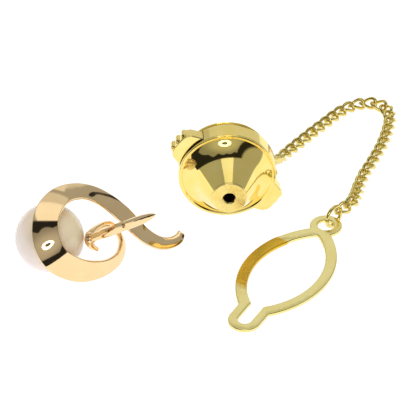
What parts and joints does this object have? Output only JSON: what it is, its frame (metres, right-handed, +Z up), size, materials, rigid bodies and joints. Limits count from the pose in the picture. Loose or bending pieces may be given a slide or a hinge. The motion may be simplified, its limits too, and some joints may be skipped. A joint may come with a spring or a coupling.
{
  "type": "tie tack",
  "caption": "Pearl and ribbon tie tack with a pinned post, a push-button clutch, a curb chain and a leaf-shaped button loop.",
  "frame": {"origin": "centre of the bounding box in plan, at the lowest point, on the surface that the pieces lie on", "axes": "+Z up from the surface; the clutch's nose points to -Y; the ornament lies at -X and the chain's bend at +X, +Y"},
  "size_m": [0.0446, 0.0449, 0.0112],
  "materials": {
    "yellow_gold_plate": "polished gold plate",
    "turned_gold": "turned gold plate",
    "chain_gold": "polished gold plate",
    "loop_gold": "satin gold plate with polished edges",
    "karat_gold": "mirror-polished karat gold",
    "pearl_nacre": "lustrous nacre",
    "spring_steel": "plain steel"
  },
  "bodies": {
    "clutch": {"case_band": "yellow_gold_plate", "front_bell": "yellow_gold_plate", "rim_bead": "yellow_gold_plate", "nose_bush": "turned_gold", "base_plate": "yellow_gold_plate", "guide_pins": "spring_steel", "rear_cover": "yellow_gold_plate", "rear_ring": "yellow_gold_plate", "chain_lug": "yellow_gold_plate", "spring_upper": "spring_steel", "spring_lower": "spring_steel"},
    "button_left": {"push_button_left": "yellow_gold_plate", "grip_plate_left": "spring_steel"},
    "button_right": {"push_button_right": "yellow_gold_plate", "grip_plate_right": "spring_steel"},
    "chain_01": {"chain_link_01": "chain_gold", "chain_link_02": "chain_gold", "chain_link_03": "chain_gold"},
    "chain_02": {"chain_link_04": "chain_gold", "chain_link_05": "chain_gold", "chain_link_06": "chain_gold"},
    "chain_03": {"chain_link_07": "chain_gold", "chain_link_08": "chain_gold", "chain_link_09": "chain_gold"},
    "chain_04": {"chain_link_10": "chain_gold", "chain_link_11": "chain_gold", "chain_link_12": "chain_gold"},
    "chain_05": {"chain_link_13": "chain_gold", "chain_link_14": "chain_gold", "chain_link_15": "chain_gold"},
    "chain_06": {"chain_link_16": "chain_gold", "chain_link_17": "chain_gold", "chain_link_18": "chain_gold"},
    "chain_07": {"chain_link_19": "chain_gold", "chain_link_20": "chain_gold", "chain_link_21": "chain_gold"},
    "chain_08": {"chain_link_22": "chain_gold", "chain_link_23": "chain_gold", "chain_link_24": "chain_gold"},
    "chain_09": {"chain_link_25": "chain_gold", "chain_link_26": "chain_gold", "chain_link_27": "chain_gold"},
    "chain_10": {"chain_link_28": "chain_gold", "chain_link_29": "chain_gold", "chain_link_30": "chain_gold"},
    "chain_11": {"chain_link_31": "chain_gold", "chain_link_32": "chain_gold", "chain_link_33": "chain_gold"},
    "chain_12": {"chain_link_34": "chain_gold", "chain_link_35": "chain_gold"},
    "jump_ring": {"jump_ring": "chain_gold"},
    "button_loop": {"button_loop": "loop_gold"},
    "ornament": {"ribbon": "karat_gold", "pearl": "pearl_nacre", "pearl_cup": "karat_gold", "pearl_peg": "karat_gold", "post_collar": "karat_gold", "tack_post": "karat_gold"}
  },
  "joints": [
    {"name": "pinch_right", "type": "slide", "parent": "clutch", "child": "button_right", "axis": [-0.7926, -0.0346, 0.6088], "range_m": [0, 0.0006], "stiffness_N_per_m": 900, "springref_m": -0.0006, "deforming": ["spring_upper", "spring_lower"]},
    {"name": "pinch_left", "type": "slide", "parent": "clutch", "child": "button_left", "axis": [0.7926, 0.0346, -0.6088], "range_m": [0, 0.0006]},
    {"name": "curl_01", "type": "hinge", "parent": "clutch", "child": "chain_01", "pos_m": [0.00657, 0.00289, 0.00372], "axis": [0, 0, 1], "range_deg": [-1, 10]},
    {"name": "curl_02", "type": "hinge", "parent": "chain_01", "child": "chain_02", "pos_m": [0.00718, 0.00719, 0.00197], "axis": [0, 0, 1], "range_deg": [-1, 10]},
    {"name": "curl_03", "type": "hinge", "parent": "chain_02", "child": "chain_03", "pos_m": [0.00878, 0.01094, 0.00073], "axis": [0, 0, 1], "range_deg": [-1, 10]},
    {"name": "curl_04", "type": "hinge", "parent": "chain_03", "child": "chain_04", "pos_m": [0.01129, 0.01448, 0.0006], "axis": [0, 0, 1], "range_deg": [-1, 10]},
    {"name": "curl_05", "type": "hinge", "parent": "chain_04", "child": "chain_05", "pos_m": [0.01394, 0.01791, 0.0006], "axis": [0, 0, 1], "range_deg": [-1, 10]},
    {"name": "curl_06", "type": "hinge", "parent": "chain_05", "child": "chain_06", "pos_m": [0.01695, 0.02099, 0.0006], "axis": [0, 0, 1], "range_deg": [-1, 10]},
    {"name": "curl_07", "type": "hinge", "parent": "chain_06", "child": "chain_07", "pos_m": [0.02076, 0.0206, 0.00074], "axis": [0, 0, 1], "range_deg": [-1, 10]},
    {"name": "curl_08", "type": "hinge", "parent": "chain_07", "child": "chain_08", "pos_m": [0.02123, 0.01648, 0.00078], "axis": [0, 0, 1], "range_deg": [-1, 10]},
    {"name": "curl_09", "type": "hinge", "parent": "chain_08", "child": "chain_09", "pos_m": [0.02011, 0.0123, 0.00078], "axis": [0, 0, 1], "range_deg": [-1, 10]},
    {"name": "curl_10", "type": "hinge", "parent": "chain_09", "child": "chain_10", "pos_m": [0.01854, 0.00825, 0.00077], "axis": [0, 0, 1], "range_deg": [-1, 10]},
    {"name": "curl_11", "type": "hinge", "parent": "chain_10", "child": "chain_11", "pos_m": [0.01713, 0.00416, 0.00091], "axis": [0, 0, 1], "range_deg": [-1, 10]},
    {"name": "curl_12", "type": "hinge", "parent": "chain_11", "child": "chain_12", "pos_m": [0.0161, 0.00001, 0.00157], "axis": [0, 0, 1], "range_deg": [-1, 10]},
    {"name": "ring_turn", "type": "hinge", "parent": "chain_12", "child": "jump_ring", "pos_m": [0.0144, -0.00226, 0.00153], "axis": [0, 0, 1], "range_deg": [-1, 10]},
    {"name": "loop_swing", "type": "hinge", "parent": "jump_ring", "child": "button_loop", "pos_m": [0.01379, -0.00293, 0.00145], "axis": [-0.7431, 0.6691, 0], "range_deg": [0, 60]},
    {"name": "ornament_lift", "type": "slide", "parent": "clutch", "child": "ornament", "axis": [0, 0, 1], "range_m": [0, 0.015]}
  ],
  "couplings": [
    {"joint": "pinch_left", "follows": "pinch_right", "ratio": 1},
    {"joint": "curl_02", "follows": "curl_01", "ratio": 1},
    {"joint": "curl_03", "follows": "curl_01", "ratio": 1},
    {"joint": "curl_04", "follows": "curl_01", "ratio": 1},
    {"joint": "curl_05", "follows": "curl_01", "ratio": 1},
    {"joint": "curl_06", "follows": "curl_01", "ratio": 1},
    {"joint": "curl_07", "follows": "curl_01", "ratio": 1},
    {"joint": "curl_08", "follows": "curl_01", "ratio": 1},
    {"joint": "curl_09", "follows": "curl_01", "ratio": 1},
    {"joint": "curl_10", "follows": "curl_01", "ratio": 1},
    {"joint": "curl_11", "follows": "curl_01", "ratio": 1},
    {"joint": "curl_12", "follows": "curl_01", "ratio": 1},
    {"joint": "ring_turn", "follows": "curl_01", "ratio": 1}
  ]
}
